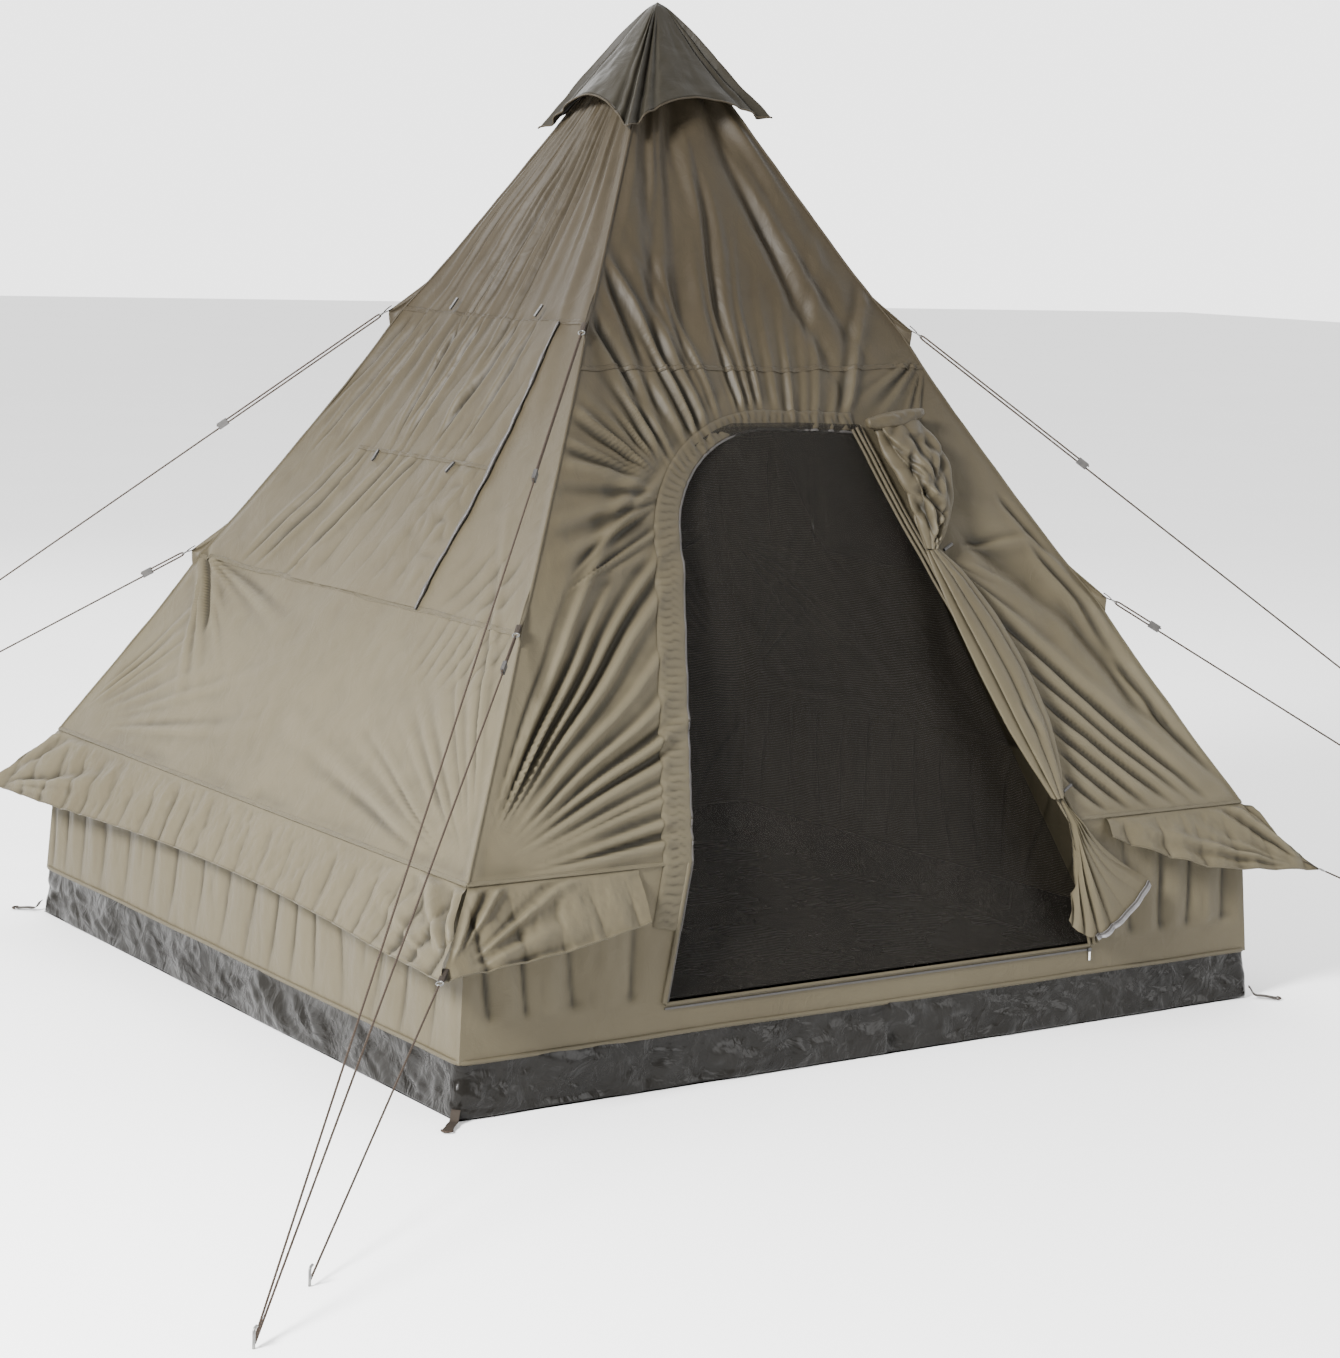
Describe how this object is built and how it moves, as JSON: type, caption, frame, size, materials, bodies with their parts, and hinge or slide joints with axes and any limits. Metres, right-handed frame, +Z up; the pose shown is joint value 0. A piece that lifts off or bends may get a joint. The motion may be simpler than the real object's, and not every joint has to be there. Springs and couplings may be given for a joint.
{
  "type": "teepee tent",
  "caption": "Pyramid teepee tent with short walls, tub floor, netted arched door, side window flaps, peak cap, centre pole and guy ropes.",
  "frame": {"origin": "centre of the square floor, on the ground", "axes": "+Z up, -Y out of the doorway, +X to the right of someone facing the doorway from outside"},
  "size_m": [5.307, 5.149, 3.045],
  "materials": {
    "olive_polyester": "satin taffeta",
    "black_mesh": "fine insect mesh",
    "black_sheeting": "crinkled woven sheeting with a soft gloss",
    "steel_tube": "powder coated",
    "black_rubber": "matte",
    "guy_cord": "braided",
    "black_plastic": "moulded",
    "steel_wire": "plated",
    "dark_webbing": "woven tape",
    "olive_webbing": "folded cloth",
    "zip_coil": "nylon coil",
    "zip_metal": "enamelled",
    "white_plastic": "moulded"
  },
  "bodies": {
    "runner_front_left_upper": {"runner_front_left_upper": "black_plastic"},
    "runner_front_left_middle": {"runner_front_left_middle": "black_plastic"},
    "runner_front_right_upper": {"runner_front_right_upper": "black_plastic"},
    "runner_front_right_middle": {"runner_front_right_middle": "black_plastic"},
    "runner_back_right_upper": {"runner_back_right_upper": "black_plastic"},
    "runner_back_right_middle": {"runner_back_right_middle": "black_plastic"},
    "runner_back_left_upper": {"runner_back_left_upper": "black_plastic"},
    "runner_back_left_middle": {"runner_back_left_middle": "black_plastic"},
    "door_slider": {"door_slider": "zip_metal"},
    "door_pull": {"door_pull": "white_plastic"},
    "net_slider": {"net_slider": "zip_metal"},
    "net_pull": {"net_pull": "white_plastic"},
    "window_flap_left": {"window_flap_left": "olive_polyester"},
    "window_flap_right": {"window_flap_right": "olive_polyester"},
    "net_door": {"net_door": "black_mesh"},
    "tent": {"canopy_back": "olive_polyester", "canopy_front_lower": "olive_polyester", "canopy_front_upper": "olive_polyester", "canopy_left_lower": "olive_polyester", "canopy_left_middle": "olive_polyester", "canopy_left_upper": "olive_polyester", "canopy_right_lower": "olive_polyester", "canopy_right_middle": "olive_polyester", "canopy_right_upper": "olive_polyester", "door_panel": "olive_polyester", "door_placket": "olive_polyester", "groundsheet": "black_sheeting", "guy_rings": "steel_wire", "guy_rope_back_left_eave": "guy_cord", "guy_rope_back_left_middle": "guy_cord", "guy_rope_back_left_upper": "guy_cord", "guy_rope_back_right_eave": "guy_cord", "guy_rope_back_right_middle": "guy_cord", "guy_rope_back_right_upper": "guy_cord", "guy_rope_front_left_eave": "guy_cord", "guy_rope_front_left_middle": "guy_cord", "guy_rope_front_left_upper": "guy_cord", "guy_rope_front_right_eave": "guy_cord", "guy_rope_front_right_middle": "guy_cord", "guy_rope_front_right_upper": "guy_cord", "guy_tabs": "olive_polyester", "peak_cap": "olive_polyester", "peg_loops": "dark_webbing", "pegs": "steel_wire", "pole_cup": "black_rubber", "pole_foot": "black_rubber", "pole_lower": "steel_tube", "pole_upper": "steel_tube", "sill_zips": "zip_coil", "skirt_back": "olive_polyester", "skirt_front": "olive_polyester", "skirt_left": "olive_polyester", "skirt_right": "olive_polyester", "toggles": "olive_webbing", "wall_back": "olive_polyester", "wall_front": "olive_polyester", "wall_left": "olive_polyester", "wall_right": "olive_polyester", "window_net_left": "black_mesh", "window_net_right": "black_mesh"}
  },
  "joints": [
    {"name": "runner_front_left_upper_slide", "type": "slide", "parent": "tent", "child": "runner_front_left_upper", "axis": [-0.5817, -0.569, -0.5813], "range_m": [-0.59, 1.4]},
    {"name": "runner_front_left_middle_slide", "type": "slide", "parent": "tent", "child": "runner_front_left_middle", "axis": [-0.6197, -0.6126, -0.4907], "range_m": [-0.09, 0.9]},
    {"name": "runner_front_right_upper_slide", "type": "slide", "parent": "tent", "child": "runner_front_right_upper", "axis": [0.5817, -0.569, -0.5813], "range_m": [-0.59, 1.4]},
    {"name": "runner_front_right_middle_slide", "type": "slide", "parent": "tent", "child": "runner_front_right_middle", "axis": [0.6197, -0.6126, -0.4907], "range_m": [-0.09, 0.9]},
    {"name": "runner_back_right_upper_slide", "type": "slide", "parent": "tent", "child": "runner_back_right_upper", "axis": [0.5817, 0.569, -0.5813], "range_m": [-0.59, 1.4]},
    {"name": "runner_back_right_middle_slide", "type": "slide", "parent": "tent", "child": "runner_back_right_middle", "axis": [0.6197, 0.6126, -0.4907], "range_m": [-0.09, 0.9]},
    {"name": "runner_back_left_upper_slide", "type": "slide", "parent": "tent", "child": "runner_back_left_upper", "axis": [-0.5817, 0.569, -0.5813], "range_m": [-0.59, 1.4]},
    {"name": "runner_back_left_middle_slide", "type": "slide", "parent": "tent", "child": "runner_back_left_middle", "axis": [-0.6197, 0.6126, -0.4907], "range_m": [-0.09, 0.9]},
    {"name": "door_slider_travel", "type": "slide", "parent": "tent", "child": "door_slider", "axis": [-1, 0, 0], "range_m": [0, 1.55]},
    {"name": "net_slider_travel", "type": "slide", "parent": "tent", "child": "net_slider", "axis": [-1, 0, 0], "range_m": [0, 1.55]},
    {"name": "door_pull_hinge", "type": "hinge", "parent": "door_slider", "child": "door_pull", "pos_m": [0.7745, -1.3636, 0.2194], "axis": [-1, 0, 0], "range_deg": [0, 85]},
    {"name": "net_pull_hinge", "type": "hinge", "parent": "net_slider", "child": "net_pull", "pos_m": [0.7745, -1.3529, 0.2194], "axis": [1, 0, 0], "range_deg": [0, 85]},
    {"name": "window_flap_left_hinge", "type": "hinge", "parent": "tent", "child": "window_flap_left", "pos_m": [-0.57137, 0, 2.06583], "axis": [0, 1, 0], "range_deg": [0, 95]},
    {"name": "window_flap_right_hinge", "type": "hinge", "parent": "tent", "child": "window_flap_right", "pos_m": [0.57137, 0, 2.06583], "axis": [0, -1, 0], "range_deg": [0, 95]},
    {"name": "net_door_hinge", "type": "hinge", "parent": "tent", "child": "net_door", "pos_m": [0.83, -1.3499, 0.25], "axis": [0.2877, -0.3801, -0.8791], "range_deg": [0, 20]}
  ]
}
